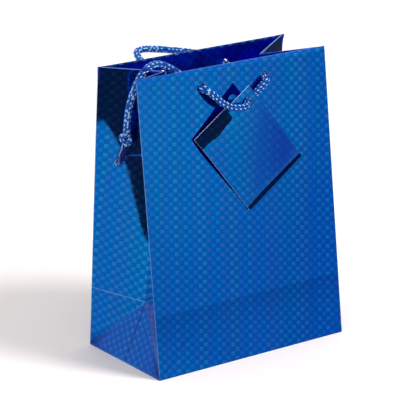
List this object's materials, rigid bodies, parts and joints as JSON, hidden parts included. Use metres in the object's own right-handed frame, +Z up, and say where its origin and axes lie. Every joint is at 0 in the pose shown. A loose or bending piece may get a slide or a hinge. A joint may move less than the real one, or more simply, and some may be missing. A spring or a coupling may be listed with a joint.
{
  "type": "gift bag",
  "caption": "Small standing gift bag of blue foil card with inward side gussets, a block bottom, two braided cord handles and a hung gift tag.",
  "frame": {"origin": "middle of the base, on the surface the bag stands on", "axes": "+Z up, +Y from the front wall to the back wall, +X to the right seen from the front"},
  "size_m": [0.1175, 0.0732, 0.1504],
  "materials": {
    "wall_foil": "mirror metallic foil with a fine check, laminated on paper",
    "gusset_foil": "mirror metallic foil with a fine check, laminated on paper, creased",
    "foil_hem": "metallic foil, turned inwards",
    "bottom_foil": "metallic foil, folded and glued",
    "tag_foil": "metallic foil card, foil on both faces",
    "grey_card": "matte greyboard",
    "braided_cord": "knitted blue cord with a silver metallic thread"
  },
  "bodies": {
    "base": {"back_bottom_flap": "bottom_foil", "front_bottom_flap": "bottom_foil", "left_bottom_flap": "bottom_foil", "right_bottom_flap": "bottom_foil", "base_board": "grey_card", "left_front_corner_fold": "gusset_foil", "left_front_base_fold": "gusset_foil", "left_front_gusset": "gusset_foil", "left_front_gusset_hem": "foil_hem", "right_front_corner_fold": "gusset_foil", "right_front_base_fold": "gusset_foil", "right_front_gusset": "gusset_foil", "right_front_gusset_hem": "foil_hem", "left_back_corner_fold": "gusset_foil", "left_back_base_fold": "gusset_foil", "left_back_gusset": "gusset_foil", "left_back_gusset_hem": "foil_hem", "right_back_corner_fold": "gusset_foil", "right_back_base_fold": "gusset_foil", "right_back_gusset": "gusset_foil", "right_back_gusset_hem": "foil_hem"},
    "front_wall": {"front_panel": "wall_foil", "front_reinforcement_card": "grey_card", "front_hem": "foil_hem", "front_cord_left_strand": "braided_cord", "front_cord_right_strand": "braided_cord", "front_right_knot": "braided_cord", "front_right_tail": "braided_cord"},
    "back_wall": {"back_panel": "wall_foil", "back_reinforcement_card": "grey_card", "back_hem": "foil_hem", "side_seam_flap": "foil_hem", "back_cord_left_strand": "braided_cord", "back_cord_right_strand": "braided_cord", "back_left_knot": "braided_cord", "back_left_tail": "braided_cord", "back_right_knot": "braided_cord", "back_right_tail": "braided_cord"},
    "front_handle": {"front_cord_loop": "braided_cord"},
    "back_handle": {"back_cord_loop": "braided_cord"},
    "gift_tag": {"gift_tag": "tag_foil"},
    "cord_end": {"front_cord_hanging_end": "braided_cord", "hanging_knot": "braided_cord", "hanging_tail": "braided_cord"}
  },
  "joints": [
    {"name": "front_wall_fold", "type": "hinge", "parent": "base", "child": "front_wall", "pos_m": [0, -0.0308, 0.0005], "axis": [-1, 0, 0], "range_deg": [-5, 4], "deforming": ["left_front_corner_fold", "left_front_base_fold", "left_front_gusset", "left_front_gusset_hem", "right_front_corner_fold", "right_front_base_fold", "right_front_gusset", "right_front_gusset_hem"]},
    {"name": "back_wall_fold", "type": "hinge", "parent": "base", "child": "back_wall", "pos_m": [0, 0.0308, 0.0005], "axis": [1, 0, 0], "range_deg": [-5, 4], "deforming": ["left_back_corner_fold", "left_back_base_fold", "left_back_gusset", "left_back_gusset_hem", "right_back_corner_fold", "right_back_base_fold", "right_back_gusset", "right_back_gusset_hem"]},
    {"name": "front_handle_swing", "type": "hinge", "parent": "front_wall", "child": "front_handle", "pos_m": [0, -0.01734, 0.13481], "axis": [-1, 0, 0], "range_deg": [0, 95], "deforming": ["front_cord_loop"]},
    {"name": "back_handle_swing", "type": "hinge", "parent": "back_wall", "child": "back_handle", "pos_m": [0, 0.01734, 0.13481], "axis": [1, 0, 0], "range_deg": [-90, 60], "deforming": ["back_cord_loop"]},
    {"name": "tag_swing", "type": "hinge", "parent": "front_handle", "child": "gift_tag", "pos_m": [0.00266, -0.02321, 0.12566], "axis": [-1, 0, 0], "range_deg": [0, 30]},
    {"name": "hanging_end_swing", "type": "hinge", "parent": "front_wall", "child": "cord_end", "pos_m": [-0.0472, -0.0109, 0.1465], "axis": [0, 1, 0], "range_deg": [0, 60], "deforming": ["front_cord_hanging_end"]}
  ]
}
